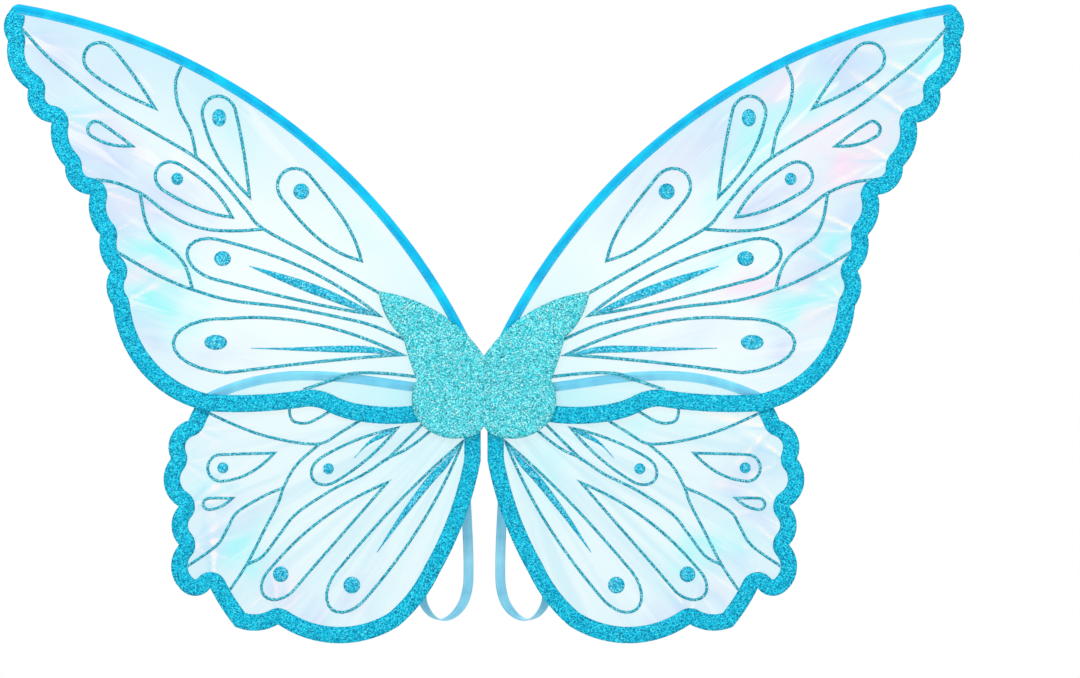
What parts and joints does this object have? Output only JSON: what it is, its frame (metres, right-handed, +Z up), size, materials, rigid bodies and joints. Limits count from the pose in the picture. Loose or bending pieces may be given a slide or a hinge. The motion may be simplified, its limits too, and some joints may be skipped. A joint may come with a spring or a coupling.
{
  "type": "fairy wings",
  "caption": "Butterfly-shaped costume wings of clear film with glitter borders, wired ribbon edges, a padded centre and elastic arm loops.",
  "frame": {"origin": "middle of the back pad's rear face, which rests on the wearer's back", "axes": "+X across the wings to the viewer's right, +Y out of the pad towards the wearer, +Z up; the glitter face looks along -Y"},
  "size_m": [0.573, 0.0192, 0.3816],
  "materials": {
    "film": "clear film with a pearly sheen",
    "glitter_border": "blue glitter fabric",
    "satin_ribbon": "bright cyan satin ribbon",
    "pale_ribbon": "pale blue satin ribbon",
    "wire": "drawn wire",
    "wire_cap": "moulded",
    "vein_glitter": "teal glitter print",
    "spot_glitter": "blue glitter print",
    "patch_glitter": "fine aqua glitter sheet",
    "pad_fabric": "satin cover",
    "foam": "soft foam",
    "stay": "flexible",
    "elastic": "ribbed elastic",
    "thread": "thread"
  },
  "bodies": {
    "spine": {"back_pad_cover": "pad_fabric", "back_pad_foam": "foam", "spine_stay": "stay", "patch_spine": "patch_glitter", "left_arm_loop": "elastic", "left_arm_loop_tack": "thread", "right_arm_loop": "elastic", "right_arm_loop_tack": "thread"},
    "left_wing": {"left_forewing_film": "film", "left_forewing_border_front": "glitter_border", "left_forewing_border_back": "glitter_border", "left_forewing_casing": "satin_ribbon", "left_forewing_wire": "wire", "left_forewing_wire_caps": "wire_cap", "left_forewing_veins": "vein_glitter", "left_forewing_spots": "spot_glitter", "left_hindwing_film": "film", "left_hindwing_border_front": "glitter_border", "left_hindwing_border_back": "glitter_border", "left_hindwing_casing": "pale_ribbon", "left_hindwing_wire": "wire", "left_hindwing_wire_caps": "wire_cap", "left_hindwing_veins": "vein_glitter", "left_hindwing_spots": "spot_glitter", "left_patch_front": "patch_glitter", "left_patch_back": "patch_glitter", "left_wing_tack": "thread"},
    "right_wing": {"right_forewing_film": "film", "right_forewing_border_front": "glitter_border", "right_forewing_border_back": "glitter_border", "right_forewing_casing": "satin_ribbon", "right_forewing_wire": "wire", "right_forewing_wire_caps": "wire_cap", "right_forewing_veins": "vein_glitter", "right_forewing_spots": "spot_glitter", "right_hindwing_film": "film", "right_hindwing_border_front": "glitter_border", "right_hindwing_border_back": "glitter_border", "right_hindwing_casing": "pale_ribbon", "right_hindwing_wire": "wire", "right_hindwing_wire_caps": "wire_cap", "right_hindwing_veins": "vein_glitter", "right_hindwing_spots": "spot_glitter", "right_patch_front": "patch_glitter", "right_patch_back": "patch_glitter", "right_wing_tack": "thread"}
  },
  "joints": [
    {"name": "left_wing_fold", "type": "hinge", "parent": "spine", "child": "left_wing", "pos_m": [-0.002, -0.01625, 0], "axis": [0, 0, 1], "range_deg": [0, 85]},
    {"name": "right_wing_fold", "type": "hinge", "parent": "spine", "child": "right_wing", "pos_m": [0.002, -0.01625, 0], "axis": [0, 0, -1], "range_deg": [0, 85]}
  ]
}
